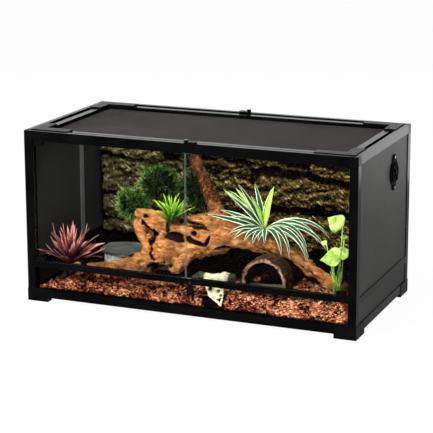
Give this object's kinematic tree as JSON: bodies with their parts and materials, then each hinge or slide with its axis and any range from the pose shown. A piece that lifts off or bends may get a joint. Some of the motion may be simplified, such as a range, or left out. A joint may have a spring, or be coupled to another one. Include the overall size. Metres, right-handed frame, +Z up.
{
  "type": "reptile terrarium",
  "caption": "Front-opening glass reptile terrarium: black frame on corner feet, hinged glass doors, lift-off screen lid, side vent and rock, wood and plant furnishings.",
  "frame": {"origin": "bottom centre of the overall size, on the ground under the feet", "axes": "+X to the right seen from the doors, +Y to the back, +Z up"},
  "size_m": [0.9078, 0.4572, 0.4628],
  "materials": {
    "frame_black": "satin black coating",
    "moulded_black": "fine-grained moulded plastic",
    "panel_dark": "satin foamed sheet",
    "clear_glass": "polished float glass",
    "strip_grey": "satin",
    "magnet_grey": "satin",
    "screw_steel": "turned and plated",
    "screen_dark": "woven wire, coated",
    "cord_rubber": "matt",
    "bark": "loose chips",
    "rock_foam": "rough coated foam",
    "driftwood": "weathered, bare",
    "leaf_red": "moulded leaf",
    "leaf_dark_green": "moulded leaf",
    "leaf_lime": "moulded leaf",
    "leaf_striped": "moulded leaf",
    "leaf_pale": "moulded leaf",
    "resin_bone": "cast resin",
    "cork": "raw cork bark",
    "slate": "split slate",
    "dish_stone": "matt"
  },
  "bodies": {
    "frame": {"foot_front_left": "moulded_black", "foot_front_right": "moulded_black", "foot_rear_left": "moulded_black", "foot_rear_right": "moulded_black", "post_front_left": "frame_black", "post_front_right": "frame_black", "post_rear_left": "frame_black", "post_rear_right": "frame_black", "top_corners": "moulded_black", "bottom_rail_front": "frame_black", "bottom_rail_back": "frame_black", "bottom_rail_left": "frame_black", "bottom_rail_right": "frame_black", "door_sill": "frame_black", "side_rail_left": "frame_black", "side_rail_right": "frame_black", "top_rail_front": "frame_black", "top_rail_back": "frame_black", "top_rail_left": "frame_black", "top_rail_right": "frame_black", "floor_panel": "panel_dark", "back_panel": "panel_dark", "lower_front_glass": "clear_glass", "left_panel_lower": "panel_dark", "left_panel_upper": "panel_dark", "right_panel_lower": "panel_dark", "right_panel_upper": "panel_dark", "wall_strip": "strip_grey", "door_magnet": "magnet_grey", "pivot_screws": "screw_steel", "vent_body": "moulded_black", "vent_screws": "screw_steel", "bark_bed": "bark", "rock_background": "rock_foam", "driftwood": "driftwood", "bromeliad": "leaf_red", "bushes": "leaf_dark_green", "grass_tuft": "leaf_lime", "spider_plant": "leaf_striped", "broadleaf_plant": "leaf_pale", "skull": "resin_bone", "cork_hide": "cork", "slate_ledge": "slate", "ribbed_dish": "dish_stone"},
    "door_left": {"door_left": "clear_glass", "hinge_shoes_left": "moulded_black"},
    "door_right": {"door_right": "clear_glass", "hinge_shoes_right": "moulded_black"},
    "door_latch": {"door_latch": "moulded_black"},
    "lid": {"lid_bar_front": "frame_black", "lid_bar_back": "frame_black", "lid_bar_left": "frame_black", "lid_bar_right": "frame_black", "lid_corners": "moulded_black", "lid_screen": "screen_dark", "screen_cord": "cord_rubber"},
    "lid_latch_front": {"lid_latch_front": "moulded_black"},
    "lid_latch_back": {"lid_latch_back": "moulded_black"},
    "vent_shutter": {"vent_shutter": "moulded_black"}
  },
  "joints": [
    {"name": "door_left_hinge", "type": "hinge", "parent": "frame", "child": "door_left", "pos_m": [-0.42185, -0.2179, 0.2685], "axis": [0, 0, -1], "range_deg": [0, 110]},
    {"name": "door_right_hinge", "type": "hinge", "parent": "frame", "child": "door_right", "pos_m": [0.41615, -0.2179, 0.2685], "axis": [0, 0, 1], "range_deg": [0, 110]},
    {"name": "door_latch_turn", "type": "hinge", "parent": "frame", "child": "door_latch", "pos_m": [0.01115, -0.2224, 0.099], "axis": [0, 1, 0], "range_deg": [0, 150]},
    {"name": "lid_lift", "type": "slide", "parent": "frame", "child": "lid", "axis": [0, 0, 1], "range_m": [0, 0.12]},
    {"name": "lid_latch_front_turn", "type": "hinge", "parent": "frame", "child": "lid_latch_front", "pos_m": [-0.00085, -0.2164, 0.455], "axis": [0, 0, 1], "range_deg": [0, 90]},
    {"name": "lid_latch_back_turn", "type": "hinge", "parent": "frame", "child": "lid_latch_back", "pos_m": [-0.00485, 0.2216, 0.455], "axis": [0, 0, 1], "range_deg": [0, 90]},
    {"name": "vent_shutter_turn", "type": "hinge", "parent": "frame", "child": "vent_shutter", "pos_m": [0.44995, 0.0806, 0.356], "axis": [1, 0, 0], "range_deg": [0, 30]}
  ]
}
